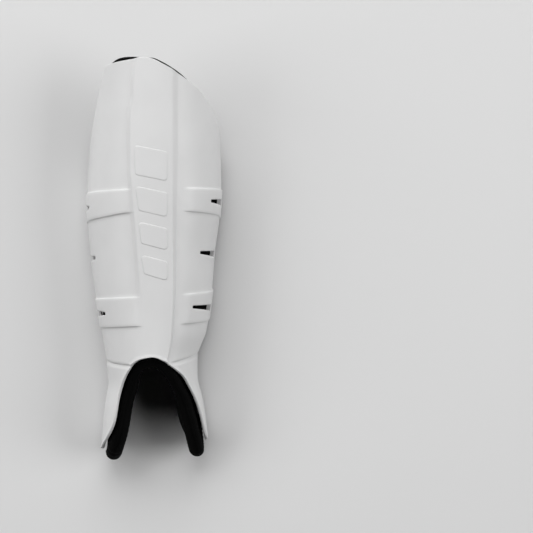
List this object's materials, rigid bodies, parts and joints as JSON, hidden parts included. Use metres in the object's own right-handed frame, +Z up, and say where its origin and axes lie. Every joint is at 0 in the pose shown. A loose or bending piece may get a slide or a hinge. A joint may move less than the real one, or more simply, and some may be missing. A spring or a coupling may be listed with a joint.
{
  "type": "shin guard",
  "caption": "Field hockey shin guard: rigid moulded shell with a middle ridge, vents and ankle lobes over a removable padded liner with elastic hook-and-loop straps.",
  "frame": {"origin": "middle of the guard's box, on the surface that its back rests on", "axes": "+Z up out of the front of the shin, +Y towards the knee, +X towards the inside of the leg"},
  "size_m": [0.1066, 0.3115, 0.0764],
  "materials": {
    "shell_plastic": "satin",
    "liner_cloth": "matte",
    "lining_cloth": "matte",
    "foam": "matte",
    "binding_tape": "matte",
    "elastic_webbing": "matte",
    "hook_face": "matte",
    "loop_face": "matte",
    "ring_plastic": "satin"
  },
  "bodies": {
    "liner": {"foam_core": "foam", "outer_cover": "liner_cloth", "inner_lining": "lining_cloth", "edge_binding": "binding_tape", "lateral_ankle_cushion": "foam", "medial_ankle_cushion": "foam", "loop_patch_knee_lateral": "loop_face", "loop_patch_knee_medial": "loop_face", "loop_patch_crest": "loop_face", "loop_patch_shin": "loop_face", "loop_patch_ankle_lateral": "loop_face", "loop_patch_ankle_medial": "loop_face", "upper_strap": "elastic_webbing", "upper_loop_field": "loop_face", "upper_ring_tab": "elastic_webbing", "upper_ring": "ring_plastic", "lower_strap": "elastic_webbing", "lower_loop_field": "loop_face", "lower_ring_tab": "elastic_webbing", "lower_ring": "ring_plastic"},
    "shell": {"outer_shell": "shell_plastic", "hook_patch_knee_lateral": "hook_face", "hook_patch_knee_medial": "hook_face", "hook_patch_crest": "hook_face", "hook_patch_shin": "hook_face", "hook_patch_ankle_lateral": "hook_face", "hook_patch_ankle_medial": "hook_face"},
    "upper_tail_end": {"upper_tail": "elastic_webbing", "upper_hook_tab": "hook_face"},
    "lower_tail_end": {"lower_tail": "elastic_webbing", "lower_hook_tab": "hook_face"}
  },
  "joints": [
    {"name": "shell_lift", "type": "slide", "parent": "liner", "child": "shell", "axis": [0, 0, 1], "range_m": [0, 0.12]},
    {"name": "upper_tab_peel", "type": "hinge", "parent": "liner", "child": "upper_tail_end", "pos_m": [0.01636, 0.046, 0.0003], "axis": [0, -1, 0], "range_deg": [0, 130]},
    {"name": "lower_tab_peel", "type": "hinge", "parent": "liner", "child": "lower_tail_end", "pos_m": [0.00762, -0.04, 0.0003], "axis": [0, -1, 0], "range_deg": [0, 130]}
  ]
}
